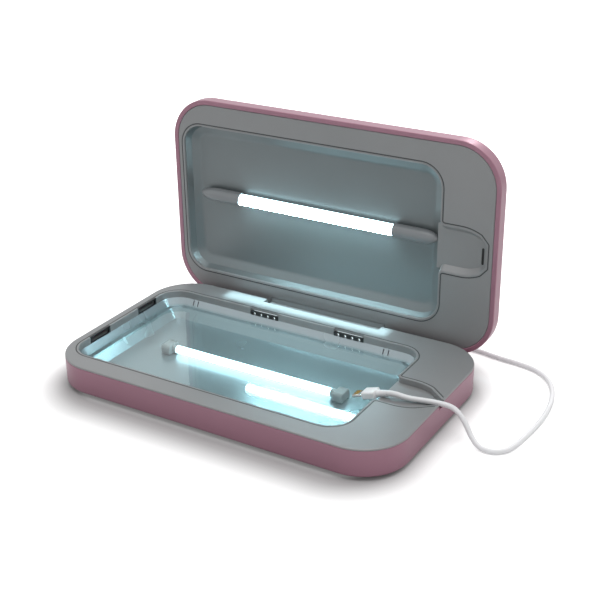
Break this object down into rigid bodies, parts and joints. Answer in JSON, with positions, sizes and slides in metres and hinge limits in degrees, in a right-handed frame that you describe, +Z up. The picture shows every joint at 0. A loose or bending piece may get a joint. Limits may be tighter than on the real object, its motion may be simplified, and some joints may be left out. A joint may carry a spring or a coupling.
{
  "type": "ultraviolet phone sanitiser box",
  "caption": "Shallow hinged box with rounded corners, a lit tray under glass for a phone, a lamp in its lid and a charging lead out at one end.",
  "frame": {"origin": "on the table, under the middle of the open box's outer size, with its lead left out", "axes": "+X towards the end where the lead comes out, +Y towards the hinge and the open lid's back, +Z up"},
  "size_m": [0.266, 0.1985, 0.1418],
  "materials": {
    "casing_paint": "fine metallic satin paint, dusty mauve pink",
    "deck_grey": "fine satin moulding, neutral grey",
    "reflector_satin": "satin drawn sheet, softly reflecting",
    "bed_glass": "clear quartz glass, polished",
    "lamp_glow": "lit white lamp with a pale blue edge",
    "lamp_cover_grey": "smoky grey, satin",
    "holder_grey": "grey moulded rubber",
    "insert_black": "black, fine moulding",
    "seal_dark": "dark grey, matt",
    "foot_rubber": "dark grey, matt",
    "steel": "plain zinc-plated steel",
    "port_metal": "bright nickel-plated sheet",
    "board_green": "green lacquer",
    "coil_yellow": "wound coil under yellow tape",
    "plug_white": "white, satin",
    "lead_white": "white flexible jacket, satin"
  },
  "bodies": {
    "base": {"base_shell": "casing_paint", "base_deck": "deck_grey", "base_reflector": "reflector_satin", "glass_plate": "bed_glass", "base_lamp": "lamp_glow", "lamp_holder_left": "holder_grey", "lamp_holder_right": "holder_grey", "base_light_seal": "seal_dark", "vent_grille_left": "insert_black", "vent_grille_right": "insert_black", "sound_port_front": "insert_black", "sound_port_rear": "insert_black", "foot_front_left": "foot_rubber", "foot_front_right": "foot_rubber", "foot_rear_left": "foot_rubber", "foot_rear_right": "foot_rubber", "casing_screws": "steel", "main_board": "board_green", "lamp_driver": "coil_yellow", "port_board": "board_green", "usb_port": "port_metal", "dc_inlet": "insert_black", "lid_sensor": "insert_black", "hinge_pin_left": "steel", "hinge_pin_right": "steel", "usb_plug_nose": "port_metal", "usb_plug": "plug_white", "plug_relief": "lead_white", "cord_rear": "lead_white", "cord_coil": "lead_white", "cord_front": "lead_white", "connector_boot": "lead_white", "connector": "plug_white", "connector_tip": "port_metal"},
    "lid": {"lid_shell": "casing_paint", "lid_deck": "deck_grey", "lid_reflector": "reflector_satin", "lid_lamp": "lamp_glow", "lamp_cover_left": "lamp_cover_grey", "lamp_cover_right": "lamp_cover_grey", "lid_light_seal": "seal_dark", "cable_baffle": "insert_black", "hinge_block": "deck_grey", "hinge_screws": "steel", "lid_magnet": "steel"}
  },
  "joints": [
    {"name": "lid_hinge", "type": "hinge", "parent": "base", "child": "lid", "pos_m": [0, 0.0557, 0.0132], "axis": [1, 0, 0], "range_deg": [0, 90]}
  ]
}
